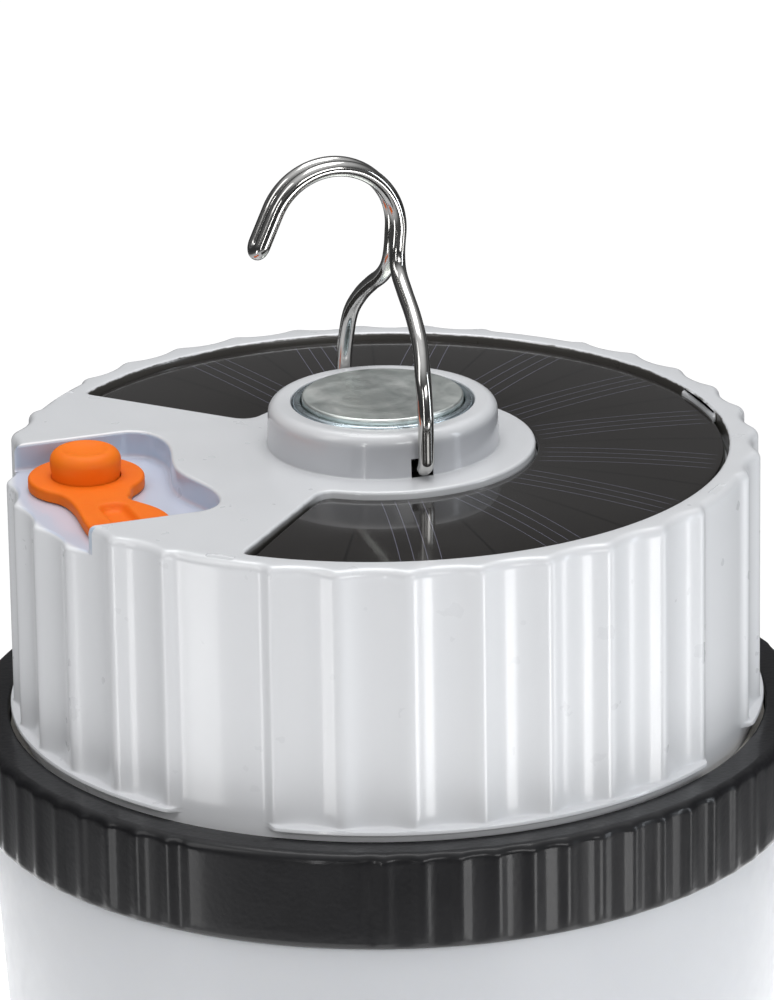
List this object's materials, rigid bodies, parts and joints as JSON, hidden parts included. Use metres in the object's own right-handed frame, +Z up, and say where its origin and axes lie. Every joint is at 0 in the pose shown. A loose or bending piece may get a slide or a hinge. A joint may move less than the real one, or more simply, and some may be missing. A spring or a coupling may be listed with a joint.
{
  "type": "solar lantern",
  "caption": "Round hanging lantern with a fluted housing, a C-shaped solar panel around a magnetic boss, a folding wire hook, a sealed power button and a milky diffuser.",
  "frame": {"origin": "centre of the flat bottom face of the diffuser, on the lantern's axis", "axes": "+Z up along the lantern's axis; -X towards the power button and the charging port; +Y completes the right-handed frame, along the hook's pivot"},
  "size_m": [0.121, 0.121, 0.1484],
  "materials": {
    "housing": "satin moulded white",
    "panel_board": "laminate board",
    "panel": "glossy dark resin over the cells",
    "magnet_cup": "zinc plated",
    "magnet_disc": "satin plated",
    "hook_wire": "bright plated wire",
    "seal": "matt orange silicone",
    "circuit": "solder mask",
    "socket": "plated steel shell",
    "switch": "black moulding",
    "coil": "ferrite",
    "screw": "zinc plated",
    "battery": "shrink sleeve",
    "cell_link": "nickel strip",
    "tray": "moulded",
    "collar": "satin black",
    "gasket": "silicone",
    "led_plate": "rolled sheet",
    "led_board": "white solder mask",
    "led": "phosphor lens",
    "diffuser": "milky white",
    "lead_red": "insulated lead",
    "lead_black": "insulated lead"
  },
  "bodies": {
    "root": {"upper_housing": "housing", "solar_board": "panel_board", "solar_cells": "panel", "magnet_cup": "magnet_cup", "magnet_disc": "magnet_disc", "seal_base": "seal", "control_board": "circuit", "usb_socket": "socket", "switch_body": "switch", "charge_chip": "switch", "driver_coil": "coil", "circuit_screw_1": "screw", "circuit_screw_2": "screw", "battery_cell_1": "battery", "battery_cell_2": "battery", "battery_cell_3": "battery", "cell_link_front": "cell_link", "cell_link_rear": "cell_link", "battery_tray": "tray", "tray_screw_1": "screw", "tray_screw_2": "screw", "collar": "collar", "gasket": "gasket", "led_plate": "led_plate", "led_board": "led_board", "led_1": "led", "led_2": "led", "led_3": "led", "led_4": "led", "led_5": "led", "led_6": "led", "led_7": "led", "led_8": "led", "diffuser": "diffuser", "collar_screw_1": "screw", "collar_screw_2": "screw", "collar_screw_3": "screw", "collar_screw_4": "screw", "panel_lead_red": "lead_red", "panel_lead_black": "lead_black", "battery_lead_red": "lead_red", "battery_lead_black": "lead_black", "led_lead_red": "lead_red", "led_lead_black": "lead_black"},
    "hook": {"hanging_hook": "hook_wire"},
    "button": {"power_button": "seal"},
    "plunger": {"switch_plunger": "switch"},
    "cover": {"port_cover": "seal"}
  },
  "joints": [
    {"name": "hook_tilt", "type": "hinge", "parent": "root", "child": "hook", "pos_m": [0, 0, 0.1065], "axis": [0, 1, 0], "range_deg": [-40, 85]},
    {"name": "button_press", "type": "slide", "parent": "root", "child": "button", "axis": [0, 0, -1], "range_m": [0, 0.0005], "stiffness_N_per_m": 400, "springref_m": -0.0005},
    {"name": "plunger_press", "type": "slide", "parent": "root", "child": "plunger", "axis": [0, 0, -1], "range_m": [0, 0.0005]},
    {"name": "cover_fold", "type": "hinge", "parent": "root", "child": "cover", "pos_m": [-0.0423, -0.0029, 0.1029], "axis": [-1, 0, 0], "range_deg": [0, 110]}
  ],
  "couplings": [
    {"joint": "plunger_press", "follows": "button_press", "ratio": 1}
  ]
}
